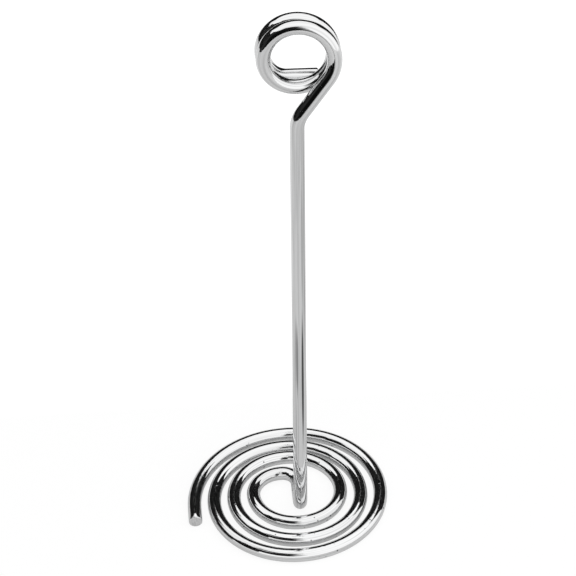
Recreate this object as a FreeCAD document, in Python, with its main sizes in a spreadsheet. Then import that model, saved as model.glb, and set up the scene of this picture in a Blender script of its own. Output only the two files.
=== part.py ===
import FreeCAD, Part
import math
import os

from FreeCAD import Placement, Rotation, Vector

# Table-top sign holder: one round wire, bent from end to end.
# +Z is up and the table is z = 0. The origin is where the stem's axis meets the table.
# The ring faces -Y, the side the sign is read from.

# Sizes, in millimetres and degrees. Radii and lengths are those of the wire's centre line.
sizes = (
    ("wireDiameter", 4.76, "round wire, 3/16 in"),
    ("endChamfer", 0.4, "broken edge round both cut ends"),
    ("footBend", 6.0, "radius where the wire turns up from the table into the stem"),
    ("floorRun", 7.5, "straight wire on the table behind that bend"),
    ("innerBend", 5.4, "radius of the tight bend that leaves the spiral"),
    ("innerQuarter", 10.5, "radius of the quarter turn before the tight bend"),
    ("firstQuarter", 14.9, "radius of the innermost quarter turn of the spiral"),
    ("frontGrowth", 0.92, "how much the radius grows at the front of each turn"),
    ("sideGrowth", 1.85, "how much it grows at the left and right"),
    ("backGrowth", 2.4, "how much it grows at the back"),
    ("spiralQuarters", 12, "quarter turns in the spiral"),
    ("lastTurnSkew", 1.1, "how much the last turn's quarters are tighter and wider by turns"),
    ("outerRun", 7.0, "straight outer end past the last quarter turn"),
    ("stemCorner", 170.8, "height where the axes of stem and leg cross"),
    ("topBend", 9.0, "radius where the stem turns into the leg"),
    ("legLength", 16.5, "from that crossing to the start of the ring"),
    ("ringRadius", 11.0, "radius of the ring"),
    ("ringPitch", 5.25, "distance between neighbouring turns of the ring"),
    ("ringLean", 7.0, "angle the ring leans back"),
    ("ringStart", 37.0, "angle below the ring's right side where the leg runs into it"),
    ("ringTravel", 619.0, "angle the wire turns through in the ring"),
    ("tailBend", 7.3, "radius where the wire leaves the ring for its tail"),
    ("tailDrop", 3.0, "angle the tail falls towards its end"),
    ("tailLength", 9.6, "straight tail across the back of the ring"),
)

doc = FreeCAD.newDocument("sign_holder")
sheet = doc.addObject("Spreadsheet::Sheet", "sizes")
for row, (name, value, note) in enumerate(sizes, start=1):
    sheet.set("A%d" % row, name)
    sheet.set("B%d" % row, str(value))
    sheet.set("C%d" % row, note)
    sheet.setAlias("B%d" % row, name)
doc.recompute()

size = {name: float(getattr(sheet, name)) for name, value, note in sizes}

right = Vector(1, 0, 0)
back = Vector(0, 1, 0)
upward = Vector(0, 0, 1)


class BentWire:
    """A centre line laid down bend by bend, as straight runs and tangent arcs."""

    def __init__(self, point, heading):
        self.point = point
        self.heading = heading
        self.edges = []

    def run(self, length):
        end = self.point + self.heading * length
        self.edges.append(Part.LineSegment(self.point, end).toShape())
        self.point = end

    def arcTo(self, end):
        chord = end - self.point
        half = self.heading.getAngle(chord)
        along = Vector(chord).normalize()
        bulge = (self.heading - along * math.cos(half)).normalize()
        crown = self.point + chord * 0.5 + bulge * (chord.Length / 2 * math.tan(half / 2))
        self.edges.append(Part.Arc(self.point, crown, end).toShape())
        self.heading = along * (2 * math.cos(half)) - self.heading
        self.point = end

    def bend(self, heading, radius):
        turn = self.heading.getAngle(heading)
        self.arcTo(self.point + (self.heading + heading) * (radius * math.tan(turn / 2)))


def turned(heading, angle):
    return Rotation(upward, angle).multVec(heading)


# Base: from the foot back along the table, round the tight bend and out through the spiral.
base = BentWire(Vector(0, size["footBend"], size["wireDiameter"] / 2), back)
base.run(size["floorRun"])
base.bend(turned(base.heading, 90), size["innerBend"])
base.bend(turned(base.heading, 90), size["innerQuarter"])
growth = (size["frontGrowth"], size["sideGrowth"], size["backGrowth"], size["sideGrowth"])
radius = size["firstQuarter"]
quarters = int(size["spiralQuarters"])
for quarter in range(quarters):
    skew = size["lastTurnSkew"] if quarter >= quarters - 4 else 0
    base.bend(turned(base.heading, 90), radius + (skew if quarter % 2 else -skew))
    radius += growth[quarter % len(growth)]
base.run(size["outerRun"])

# Ring: a short coil in a frame of its own that leans back, wound up its right side,
# over the top and down the left, each turn behind the one before.
lean = math.radians(size["ringLean"])
ringUp = Vector(0, math.sin(lean), math.cos(lean))
ringBack = Vector(0, math.cos(lean), -math.sin(lean))
arcs = math.ceil(size["ringTravel"] / 90)
step = math.radians(size["ringTravel"]) / arcs
advance = size["ringPitch"] * step / (2 * math.pi)
slope = advance / (2 * size["ringRadius"] * math.tan(step / 2))


def ringSpoke(angle):
    return right * math.cos(angle) + ringUp * math.sin(angle)


def ringHeading(angle):
    return (ringSpoke(angle + math.pi / 2) + ringBack * slope).normalize()


start = -math.radians(size["ringStart"])
legHeading = ringHeading(start)

# Upright: from the foot up the stem, along the leg, round the ring and out along the tail.
upright = BentWire(Vector(0, size["footBend"], size["wireDiameter"] / 2), -back)
upright.bend(upward, size["footBend"])
cutBack = size["topBend"] * math.tan(upward.getAngle(legHeading) / 2)
upright.run(size["stemCorner"] - cutBack - upright.point.z)
upright.bend(legHeading, size["topBend"])
upright.run(size["legLength"] - cutBack)
centre = upright.point - ringSpoke(start) * size["ringRadius"]
for arc in range(1, arcs + 1):
    upright.arcTo(centre + ringSpoke(start + arc * step) * size["ringRadius"] + ringBack * (arc * advance))
tailHeading = ringHeading(-math.pi / 2 - math.radians(size["tailDrop"]))
upright.bend(tailHeading, size["tailBend"])
upright.run(size["tailLength"])

route = doc.addObject("Part::Feature", "route")
route.Shape = Part.Wire(Part.sortEdges(base.edges + upright.edges)[0])

section = doc.addObject("Part::Circle", "section")
section.setExpression("Radius", "sizes.wireDiameter / 2")
section.Placement = Placement(base.point, Rotation(upward, -base.heading))

wire = doc.addObject("Part::Sweep", "wire")
wire.Sections = [section]
wire.Spine = (route, [])
wire.Solid = True
doc.recompute()

# Both cut ends have their sharp edge broken.
cutEnds = (base.point, upright.point)
endEdges = []
for number, edge in enumerate(wire.Shape.Edges, start=1):
    if any(edge.CenterOfMass.isEqual(end, 0.001) for end in cutEnds):
        endEdges.append((number, size["endChamfer"], size["endChamfer"]))
holder = doc.addObject("Part::Chamfer", "holder")
holder.Label = "bent_wire"
holder.Base = wire
holder.Edges = endEdges
doc.recompute()

for item in doc.Objects:
    if "Invalid" in item.State or "Error" in item.State:
        raise RuntimeError("%s did not rebuild: %s" % (item.Label, item.State))
if holder.Shape.isNull() or not holder.Shape.isValid():
    raise RuntimeError("the bent wire is not a valid solid")

area = math.pi * size["wireDiameter"] ** 2 / 4
print("wire %.1f mm long, volume %.1f, section times length %.1f" % (
    route.Shape.Length, holder.Shape.Volume, area * route.Shape.Length))
box = holder.Shape.optimalBoundingBox()
print("solids %d, faces %d, x %.2f..%.2f, y %.2f..%.2f, z %.3f..%.2f" % (
    len(holder.Shape.Solids), len(holder.Shape.Faces), box.XMin, box.XMax, box.YMin, box.YMax, box.ZMin, box.ZMax))

os.makedirs("parts", exist_ok=True)
holder.Shape.exportStep("parts/%s.step" % holder.Label)
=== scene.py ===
import math

import bmesh
import bpy
from mathutils import Matrix, Vector


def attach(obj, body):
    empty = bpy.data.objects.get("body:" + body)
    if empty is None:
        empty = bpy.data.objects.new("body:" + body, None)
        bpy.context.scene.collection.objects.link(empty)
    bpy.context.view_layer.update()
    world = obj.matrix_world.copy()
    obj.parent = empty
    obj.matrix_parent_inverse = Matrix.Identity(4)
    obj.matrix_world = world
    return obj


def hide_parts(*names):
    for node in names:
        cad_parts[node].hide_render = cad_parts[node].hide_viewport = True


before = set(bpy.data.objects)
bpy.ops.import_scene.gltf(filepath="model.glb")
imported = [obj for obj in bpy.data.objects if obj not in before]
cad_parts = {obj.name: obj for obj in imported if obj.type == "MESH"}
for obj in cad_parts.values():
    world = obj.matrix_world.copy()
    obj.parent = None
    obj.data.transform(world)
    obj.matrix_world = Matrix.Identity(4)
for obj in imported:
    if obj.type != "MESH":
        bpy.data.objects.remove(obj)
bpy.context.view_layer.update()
print("frame loaded, nodes:", sorted(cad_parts))

mm = 0.001
up = Vector((0, 0, 1))
back = Vector((0, 1, 0))
right = Vector((1, 0, 0))

# The wire, bent in the order a former bends it. Millimetres and degrees, along its centre line.
wire = {
    "diameter": 4.76,
    "sides": 48,
    "stepAngle": 4.0,                    # degrees of bend for each ring of faces
    "edgeRound": 0.4,                    # broken edge round both cut ends
    "edgeSteps": 4,
    "faceRings": (0.94, 0.7, 0.5),       # rings of the cut face, each as a share of the last one
    "footBend": 6.0,
    "floorRun": 7.5,
    "innerBend": 5.4,
    "innerQuarter": 10.5,
    "firstQuarter": 14.9,
    "growth": (0.92, 1.85, 2.4, 1.85),   # from quarter to quarter: front, side, back, side
    "spiralQuarters": 12,
    "lastTurnSkew": 1.1,                 # the last turn's quarters are tighter and wider by turns
    "outerRun": 7.0,
    "stemCorner": 170.8,                 # height where the axes of stem and leg cross
    "topBend": 9.0,
    "legLength": 16.5,
    "ringRadius": 11.0,
    "ringPitch": 5.25,
    "ringLean": 7.0,
    "ringStart": 37.0,                   # below the ring's right side
    "ringTravel": 619.0,
    "tailBend": 7.3,
    "tailDrop": 3.0,
    "tailLength": 9.6,
}


class Bender:
    # Pushes one open loop of edges along the wire and leaves a skin of faces behind it.

    def __init__(self, bm, loop, point, heading, feed):
        self.bm = bm
        self.loop = loop
        self.point = point.copy()
        self.heading = heading.copy()
        self.feed = feed                 # +1 or -1, the way along the straight wire
        self.straight = bm.verts.layers.float_vector["straightWire"]
        self.cut = bm.verts.layers.float["cutFace"]

    def push(self, length, cut=0.0):
        made = bmesh.ops.extrude_edge_only(self.bm, edges=self.loop)["geom"]
        self.loop = [e for e in made if isinstance(e, bmesh.types.BMEdge)]
        verts = [v for v in made if isinstance(v, bmesh.types.BMVert)]
        for v in verts:
            v[self.straight] = v[self.straight] + Vector((0, 0, length * self.feed))
            v[self.cut] = cut
        return verts

    def run(self, length, pieces):
        move = self.heading * (length / pieces)
        for i in range(pieces):
            bmesh.ops.translate(self.bm, verts=self.push(length / pieces), vec=move)
        self.point += self.heading * length

    def arcTo(self, end):
        chord = end - self.point
        half = self.heading.angle(chord)
        radius = chord.length / (2 * math.sin(half))
        axis = self.heading.cross(chord).normalized()
        centre = self.point + axis.cross(self.heading) * radius
        steps = max(2, round(math.degrees(2 * half) / wire["stepAngle"]))
        turn = Matrix.Rotation(2 * half / steps, 3, axis)
        for i in range(steps):
            verts = self.push(radius * 2 * half / steps)
            bmesh.ops.rotate(self.bm, verts=verts, cent=centre, matrix=turn)
        self.heading = Matrix.Rotation(2 * half, 3, axis) @ self.heading
        self.point = end.copy()

    def bend(self, heading, radius):
        turn = self.heading.angle(heading)
        self.arcTo(self.point + (self.heading + heading) * (radius * math.tan(turn / 2)))

    def shrink(self, rise, narrow, cut):
        verts = self.push(rise, cut)
        bmesh.ops.translate(self.bm, verts=verts, vec=self.heading * rise)
        self.point += self.heading * rise
        bmesh.ops.scale(self.bm, verts=verts, vec=(narrow, narrow, narrow),
                        space=Matrix.Translation(-self.point))
        for v in verts:
            along = v[self.straight]
            v[self.straight] = Vector((along.x * narrow, along.y * narrow, along.z))

    def closeEnd(self):
        # the sheared edge is rounded over in small steps, then the flat face closes ring by ring
        radius = wire["diameter"] / 2
        edge = wire["edgeRound"]
        steps = wire["edgeSteps"]
        before = radius
        rise = 0
        for i in range(1, steps + 1):
            angle = math.radians(90 * i / steps)
            after = radius - edge * (1 - math.cos(angle))
            self.shrink(edge * math.sin(angle) - rise, after / before, i / steps)
            before = after
            rise = edge * math.sin(angle)
        for narrow in wire["faceRings"]:
            self.shrink(0, narrow, 1.0)
        bmesh.ops.contextual_create(self.bm, geom=self.loop)


def turned(heading, angle):
    return Matrix.Rotation(math.radians(angle), 3, up) @ heading


def bendBase(bm, loop, foot):
    base = Bender(bm, loop, foot, back, 1.0)
    base.run(wire["floorRun"], pieces=2)
    base.bend(turned(base.heading, 90), wire["innerBend"])
    base.bend(turned(base.heading, 90), wire["innerQuarter"])
    radius = wire["firstQuarter"]
    perTurn = len(wire["growth"])
    for quarter in range(wire["spiralQuarters"]):
        skew = wire["lastTurnSkew"] if quarter >= wire["spiralQuarters"] - perTurn else 0
        base.bend(turned(base.heading, 90), radius + (skew if quarter % 2 else -skew))
        radius += wire["growth"][quarter % perTurn]
    base.run(wire["outerRun"] - wire["edgeRound"], pieces=4)
    base.closeEnd()


def bendUpright(bm, loop, foot):
    # the ring is a short coil in a frame of its own that leans back
    lean = math.radians(wire["ringLean"])
    ringUp = Vector((0, math.sin(lean), math.cos(lean)))
    ringBack = Vector((0, math.cos(lean), -math.sin(lean)))
    arcs = math.ceil(wire["ringTravel"] / 90)
    step = math.radians(wire["ringTravel"]) / arcs
    advance = wire["ringPitch"] * step / (2 * math.pi)
    slope = advance / (2 * wire["ringRadius"] * math.tan(step / 2))

    def spoke(angle):
        return right * math.cos(angle) + ringUp * math.sin(angle)

    def ringHeading(angle):
        return (spoke(angle + math.pi / 2) + ringBack * slope).normalized()

    start = -math.radians(wire["ringStart"])
    legHeading = ringHeading(start)
    upright = Bender(bm, loop, foot, -back, -1.0)
    upright.bend(up, wire["footBend"])
    cutBack = wire["topBend"] * math.tan(up.angle(legHeading) / 2)
    upright.run(wire["stemCorner"] - cutBack - upright.point.z, pieces=40)
    upright.bend(legHeading, wire["topBend"])
    upright.run(wire["legLength"] - cutBack, pieces=4)
    centre = upright.point - spoke(start) * wire["ringRadius"]
    for arc in range(1, arcs + 1):
        upright.arcTo(centre + spoke(start + arc * step) * wire["ringRadius"]
                      + ringBack * (arc * advance))
    upright.bend(ringHeading(-math.pi / 2 - math.radians(wire["tailDrop"])), wire["tailBend"])
    upright.run(wire["tailLength"] - wire["edgeRound"], pieces=4)
    upright.closeEnd()


def bendWire():
    bm = bmesh.new()
    straight = bm.verts.layers.float_vector.new("straightWire")   # place on the unbent wire
    bm.verts.layers.float.new("cutFace")
    foot = Vector((0, wire["footBend"], wire["diameter"] / 2))
    bmesh.ops.create_circle(bm, segments=wire["sides"], radius=wire["diameter"] / 2)
    for v in bm.verts:
        v[straight] = v.co.copy()
    upended = Matrix.Rotation(math.radians(90), 3, "X")
    bmesh.ops.rotate(bm, verts=bm.verts, cent=(0, 0, 0), matrix=upended)
    bmesh.ops.translate(bm, verts=bm.verts, vec=foot)
    loop = list(bm.edges)
    bendBase(bm, loop, foot)
    bendUpright(bm, loop, foot)
    bmesh.ops.scale(bm, verts=bm.verts, vec=(mm, mm, mm))
    for v in bm.verts:
        v[straight] = v[straight] * mm
    bmesh.ops.recalc_face_normals(bm, faces=bm.faces)
    for face in bm.faces:
        face.smooth = True
    mesh = bpy.data.meshes.new("platedWire")
    bm.to_mesh(mesh)
    bm.free()
    piece = bpy.data.objects.new("platedWire", mesh)
    bpy.context.scene.collection.objects.link(piece)
    return piece


platedWire = bendWire()
print("wire bent,", len(platedWire.data.polygons), "faces")


def newMaterial(name):
    material = bpy.data.materials.new(name)
    material.use_nodes = True
    material.node_tree.nodes.clear()
    return material


def addNode(tree, kind, inputs=None, **settings):
    # an input is either a value or another node's output to link
    made = tree.nodes.new(kind)
    for name, value in settings.items():
        setattr(made, name, value)
    for name, value in (inputs or {}).items():
        if isinstance(value, bpy.types.NodeSocket):
            tree.links.new(value, made.inputs[name])
        else:
            made.inputs[name].default_value = value
    return made


def remap(tree, value, low, high, toLow=0.0, toHigh=1.0):
    return addNode(tree, "ShaderNodeMapRange", {
        "Value": value, "From Min": low, "From Max": high,
        "To Min": toLow, "To Max": toHigh}).outputs[0]


def maths(tree, operation, first, second):
    return addNode(tree, "ShaderNodeMath", {0: first, 1: second}, operation=operation).outputs[0]


def blendColour(tree, share, first, second):
    # 6, 7 and 2 are the Mix node's own sockets for colours
    return addNode(tree, "ShaderNodeMix", {
        "Factor": share, 6: first, 7: second}, data_type="RGBA").outputs[2]


# Bright chrome over drawn steel wire. Lengths in millimetres; a band is where in a noise, from 0
# to 1, its effect begins and where it is full.
chrome = {
    "bright": (0.875, 0.878, 0.88, 1),
    "dull": (0.56, 0.56, 0.565, 1),         # along the lines left by drawing
    "pitAndReflectionDark": (0.07, 0.07, 0.072, 1),        # pinholes, and the painted dark reflections up the stem
    "roughness": 0.03,
    "dullRoughness": 0.2,
    "noiseRoughness": 0.55,
    "drawLineWidth": 0.4,
    "drawLineLength": 45.0,
    "drawLineDepth": 0.006,
    "fineLineWidth": 0.12,
    "fineLineLength": 15.0,
    "fineLineDepth": 0.0006,
    "streakBand": (0.44, 0.72),
    "streakShare": 0.8,
    "peelSize": 3.2,                        # slow waves of the plating
    "peelDepth": 0.024,
    "cloudSize": 9.0,                       # where pinholes gather and scuffs wear
    "pinholeSpacing": 2.0,
    "pinholeSize": 0.36,
    "pinholeDepth": 0.012,
    "pinholeHeight": 8.0,                   # they are found in the base only
    "pinholeBand": (0.52, 0.56),
    "scuffHeight": 0.35,                    # worn dull where it slides on tables
    "scuffRoughness": 0.4,
    "scuffBand": (0.35, 0.6),
    "shearLineWidth": 0.3,                  # lines that the shears left across the cut faces
    "shearLineLength": 2.0,
    "shearDepth": 0.08,
    "shearBand": (0.4, 0.7),
    "cutRoughness": 0.42,
    "cutBand": (0.2, 0.9),                  # over the rounded edge, which runs from 0 to 1
    # Painted reflections: dark lengthwise lines up the stem, and one wider faint strip, painted where
    # the chrome mirrors shade. Angle round the wire in degrees, where each begins and ends along the
    # wire from the foot (up the stem is negative), half of its width, and strength.
    "paintedReflections": (
        (-66, -32, -100, 0.50, 0.95),
        (-64, -92, -150, 0.34, 0.35),
        (-111, -56, -92, 0.48, 0.60),
        (-118, -60, -96, 0.36, 0.40),
        (-40, -70, -200, 0.80, 0.32),
        (-124, -16, -64, 0.30, 0.25),
    ),
    "reflectionTaper": 0.55,                     # a painted reflection line is at full strength inside this share of it
}


def makeChrome():
    material = newMaterial("brightChrome")
    tree = material.node_tree
    straight = addNode(tree, "ShaderNodeAttribute", attribute_name="straightWire").outputs["Vector"]
    cut = addNode(tree, "ShaderNodeAttribute", attribute_name="cutFace").outputs["Fac"]
    place = addNode(tree, "ShaderNodeTexCoord").outputs["Object"]

    def noise(source, scale, detail):
        stretched = addNode(tree, "ShaderNodeMapping", {
            "Vector": source, "Scale": [value / mm for value in scale]}).outputs[0]
        return addNode(tree, "ShaderNodeTexNoise", {
            "Vector": stretched, "Scale": 1.0, "Detail": detail,
            "Roughness": chrome["noiseRoughness"]}).outputs["Fac"]

    def linesAlong(width, length, detail):
        return noise(straight, (1 / width, 1 / width, 1 / length), detail)

    def paintedReflectionLine(angle, start, end, width, strength):
        # a painted dark reflection: a long thin ellipsoid laid on the straight wire, so the line
        # tapers at both ends
        middle = Matrix.Rotation(math.radians(angle), 3, "Z") @ Vector((wire["diameter"] / 2, 0, 0))
        middle.z = (start + end) / 2
        halfSize = (width * mm, width * mm, abs(end - start) / 2 * mm)
        near = addNode(tree, "ShaderNodeMapping", {
            "Vector": straight, "Location": middle * mm, "Scale": halfSize},
            vector_type="TEXTURE").outputs[0]
        reach = addNode(tree, "ShaderNodeVectorMath", {0: near}, operation="LENGTH").outputs["Value"]
        return remap(tree, reach, 1.0, chrome["reflectionTaper"], 0.0, strength)

    drawLines = linesAlong(chrome["drawLineWidth"], chrome["drawLineLength"], detail=3.0)
    fineLines = linesAlong(chrome["fineLineWidth"], chrome["fineLineLength"], detail=1.0)
    peel = noise(place, [1 / chrome["peelSize"]] * 3, detail=2.0)
    clouds = noise(place, [1 / chrome["cloudSize"]] * 3, detail=4.0)
    shear = noise(straight, (1 / chrome["shearLineWidth"], 1 / chrome["shearLineLength"], 0),
                  detail=3.0)

    # pinholes: round pits, only where the clouds are thick, and only low down
    height = addNode(tree, "ShaderNodeSeparateXYZ", {0: place}).outputs["Z"]
    pits = addNode(tree, "ShaderNodeTexVoronoi", {
        "Vector": place, "Scale": 1 / (chrome["pinholeSpacing"] * mm)}).outputs["Distance"]
    rim = chrome["pinholeSize"] / chrome["pinholeSpacing"]
    pinhole = maths(tree, "MULTIPLY", remap(tree, pits, rim, rim / 2),
                    remap(tree, clouds, *chrome["pinholeBand"]))
    low = maths(tree, "LESS_THAN", height, chrome["pinholeHeight"] * mm)
    pinhole = maths(tree, "MULTIPLY", pinhole, low)
    pitsAndReflections = pinhole
    # the painted dark reflections up the stem, laid over the pinholes
    for pitAndReflectionDark in chrome["paintedReflections"]:
        pitsAndReflections = maths(tree, "MAXIMUM", pitsAndReflections, paintedReflectionLine(*pitAndReflectionDark))

    # colour: bright, streaked along the wire and across the cut faces, with pinholes and painted dark
    # reflections
    streak = remap(tree, drawLines, *chrome["streakBand"], toHigh=chrome["streakShare"])
    sheared = maths(tree, "MULTIPLY", cut, remap(tree, shear, *chrome["shearBand"]))
    streak = maths(tree, "MAXIMUM", streak, sheared)
    colour = blendColour(tree, streak, chrome["bright"], chrome["dull"])
    colour = blendColour(tree, pitsAndReflections, colour, chrome["pitAndReflectionDark"])

    # roughness: nearly a mirror, hazier on the streaks, scuffed underneath, matt on the cut faces
    scuff = maths(tree, "MULTIPLY",
                  remap(tree, height, chrome["scuffHeight"] * mm, 0.0, 0.0, chrome["scuffRoughness"]),
                  remap(tree, clouds, *chrome["scuffBand"]))
    rough = remap(tree, streak, 0.0, 1.0, chrome["roughness"], chrome["dullRoughness"])
    rough = maths(tree, "ADD", rough, scuff)
    cutHaze = remap(tree, cut, *chrome["cutBand"], toHigh=chrome["cutRoughness"])
    rough = maths(tree, "MAXIMUM", rough, cutHaze)

    # relief: slow waves, draw lines, pinholes, and shear lines on the cut faces only
    lift = maths(tree, "MULTIPLY", peel, chrome["peelDepth"] * mm)
    for pattern, depth in ((drawLines, "drawLineDepth"), (fineLines, "fineLineDepth"),
                           (maths(tree, "MULTIPLY", shear, cut), "shearDepth")):
        lift = maths(tree, "ADD", lift, maths(tree, "MULTIPLY", pattern, chrome[depth] * mm))
    pitDepth = maths(tree, "MULTIPLY", pinhole, chrome["pinholeDepth"] * mm)
    lift = maths(tree, "SUBTRACT", lift, pitDepth)
    relief = addNode(tree, "ShaderNodeBump", {"Height": lift, "Strength": 1.0, "Distance": 1.0})

    shader = addNode(tree, "ShaderNodeBsdfPrincipled", {
        "Base Color": colour, "Metallic": 1.0, "Roughness": rough, "Normal": relief.outputs[0]})
    addNode(tree, "ShaderNodeOutputMaterial", {"Surface": shader.outputs[0]})
    return material


platedWire.data.materials.append(makeChrome())
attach(platedWire, "root")
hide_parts("bent_wire")
print("wire plated")

# The studio: a pale table in soft white light, in a dark room that is open at the right, with dark
# cards near the object. The walls and cards are dark glowing sheets in place of the unlit room:
# painted shade. Metres and degrees.
studio = {
    "floorSize": 6.0,
    "floorGrey": (0.70, 0.70, 0.70, 1),
    "seenWhite": 1.11,                   # the table as the camera sees it
    "mirroredFront": 0.72,               # as the chrome mirrors it, in front of the stem
    "mirroredGlowBehind": 1.35,                # and behind it, where it is a painted glow above white
    "behind": (0.035, 0.075),            # how far behind the stem the one turns into the other
    "seenShare": 0.8,                    # how much of that shows, the rest is lit and shaded
    "mirroredShare": 0.35,
    "light": 1.08,
    # the glow of the sheets: painted shade, and painted light where their folds would catch it
    "dark": (0.004, 0.004, 0.004, 1),
    "paintedFoldLight": (0.045, 0.045, 0.045, 1),
    "foldScale": 14.0,                   # folds of the dark sheets, painted lighter, for each metre
    "foldBand": (0.45, 0.75),
    # begins and ends clockwise from +Y, lower and upper edge, distance from the stem
    "screens": {
        "backWall": (70, -60, 0, 1.4, 1.35),
        "sideWall": (-60, -100, 0, 0.95, 1.35),
        "frontWall": (-100, -134, 0.22, 0.95, 1.35),
        "sideCard": (-95, -140, 0.13, 0.42, 0.3),
        "frontCard": (-140, -192, 0.125, 0.48, 0.3),
        "nearCard": (-108, -192, 0.168, 0.255, 0.115),
    },
    "screenSteps": 40,
    "cardFade": (172, 190),              # where the front cards thin out, anticlockwise from +Y
    "cardRagged": 0.4,                   # how far the folds shift that, in radians
}


def addStage(name, bm, material):
    mesh = bpy.data.meshes.new(name)
    bm.to_mesh(mesh)
    bm.free()
    piece = bpy.data.objects.new(name, mesh)
    bpy.context.scene.collection.objects.link(piece)
    mesh.materials.append(material)
    return piece


def makeFloor():
    material = newMaterial("paleFloor")
    tree = material.node_tree
    path = addNode(tree, "ShaderNodeLightPath").outputs
    seen = path["Is Camera Ray"]
    mirrored = maths(tree, "MAXIMUM", path["Is Glossy Ray"], path["Is Transmission Ray"])
    share = maths(tree, "ADD", maths(tree, "MULTIPLY", seen, studio["seenShare"]),
                  maths(tree, "MULTIPLY", mirrored, studio["mirroredShare"]))
    place = addNode(tree, "ShaderNodeTexCoord").outputs["Object"]
    behind = addNode(tree, "ShaderNodeSeparateXYZ", {0: place}).outputs["Y"]
    # painted light: as the chrome mirrors it, the table is dimmer in front of the stem and glows above
    # white behind it
    white = remap(tree, behind, *studio["behind"], studio["mirroredFront"], studio["mirroredGlowBehind"])
    white = maths(tree, "MAXIMUM", white, maths(tree, "MULTIPLY", seen, studio["seenWhite"]))
    matt = addNode(tree, "ShaderNodeBsdfDiffuse", {"Color": studio["floorGrey"]})
    glow = addNode(tree, "ShaderNodeEmission", {"Color": (1, 1, 1, 1), "Strength": white})
    both = addNode(tree, "ShaderNodeMixShader", {0: share, 1: matt.outputs[0], 2: glow.outputs[0]})
    addNode(tree, "ShaderNodeOutputMaterial", {"Surface": both.outputs[0]})
    bm = bmesh.new()
    bmesh.ops.create_grid(bm, x_segments=1, y_segments=1, size=studio["floorSize"] / 2)
    addStage("floor", bm, material)


def paintedShadeSheets():
    # painted shade: dark glowing sheets in place of the unlit room, with painted light on soft folds;
    # they thin out raggedly where the front cards end
    material = newMaterial("darkRoom")
    tree = material.node_tree
    place = addNode(tree, "ShaderNodeTexCoord").outputs["Object"]
    folds = addNode(tree, "ShaderNodeTexNoise", {
        "Vector": place, "Scale": studio["foldScale"], "Detail": 5.0}).outputs["Fac"]
    # painted shade, lighter on the folds: painted light, from no lamp
    shadeAndFoldLight = blendColour(tree, remap(tree, folds, *studio["foldBand"]), studio["dark"], studio["paintedFoldLight"])
    glow = addNode(tree, "ShaderNodeEmission", {"Color": shadeAndFoldLight, "Strength": 1.0})
    clear = addNode(tree, "ShaderNodeBsdfTransparent")
    # the way round anticlockwise from +Y: past the front it runs on above 180 degrees
    apart = addNode(tree, "ShaderNodeSeparateXYZ", {0: place}).outputs
    around = maths(tree, "ARCTAN2", maths(tree, "MULTIPLY", apart["X"], -1.0), apart["Y"])
    pastFront = maths(tree, "LESS_THAN", around, math.radians(-120))
    around = maths(tree, "ADD", around, maths(tree, "MULTIPLY", pastFront, 2 * math.pi))
    ragged = maths(tree, "ADD", around, maths(tree, "MULTIPLY", folds, studio["cardRagged"]))
    fadeFrom, fadeTo = (math.radians(angle) + studio["cardRagged"] / 2 for angle in studio["cardFade"])
    thin = remap(tree, ragged, fadeFrom, fadeTo)
    both = addNode(tree, "ShaderNodeMixShader", {0: thin, 1: glow.outputs[0], 2: clear.outputs[0]})
    addNode(tree, "ShaderNodeOutputMaterial", {"Surface": both.outputs[0]})
    return material


def makeDarkRoom():
    material = paintedShadeSheets()
    for name, (start, end, low, high, radius) in studio["screens"].items():
        bm = bmesh.new()
        angle = math.radians(start)
        foot = bm.verts.new((math.sin(angle) * radius, math.cos(angle) * radius, low))
        head = bm.verts.new((foot.co.x, foot.co.y, high))
        edge = bm.edges.new((foot, head))
        bmesh.ops.spin(bm, geom=[foot, head, edge], cent=(0, 0, 0), axis=(0, 0, 1),
                       angle=math.radians(start - end), steps=studio["screenSteps"])
        screen = addStage(name, bm, material)
        screen.visible_camera = False                        # mirrored in the chrome only
        screen.visible_diffuse = name.endswith("Wall")       # the walls shade the table too


def lightStudio():
    world = bpy.data.worlds.new("softLight")
    bpy.context.scene.world = world
    world.use_nodes = True
    ground = world.node_tree.nodes["Background"]
    ground.inputs["Color"].default_value = (1, 1, 1, 1)
    ground.inputs["Strength"].default_value = studio["light"]


makeFloor()
makeDarkRoom()
lightStudio()
print("studio set")

# The camera stands where the photo was taken from. Degrees, metres, and the lens in millimetres.
view = {
    "azimuth": -4.09,
    "elevation": 39.54,
    "roll": -0.69,
    "distance": 0.9,
    "lens": 171.04,
    "target": (-0.00318, 0.0042, 0.09971),
}


def setCamera():
    azimuth = math.radians(view["azimuth"])
    elevation = math.radians(view["elevation"])
    data = bpy.data.cameras.new("photoView")
    data.lens = view["lens"]
    camera = bpy.data.objects.new("photoView", data)
    away = Matrix.Rotation(azimuth, 3, "Z") @ Vector((0, -math.cos(elevation), math.sin(elevation)))
    roll = Matrix.Rotation(math.radians(view["roll"]), 3, "Z")
    aim = away.to_track_quat("Z", "Y").to_matrix() @ roll
    place = Vector(view["target"]) + away * view["distance"]
    camera.matrix_world = Matrix.Translation(place) @ aim.to_4x4()
    bpy.context.scene.collection.objects.link(camera)
    bpy.context.scene.camera = camera


setCamera()
bpy.context.scene.view_settings.view_transform = "Standard"
print("camera set")
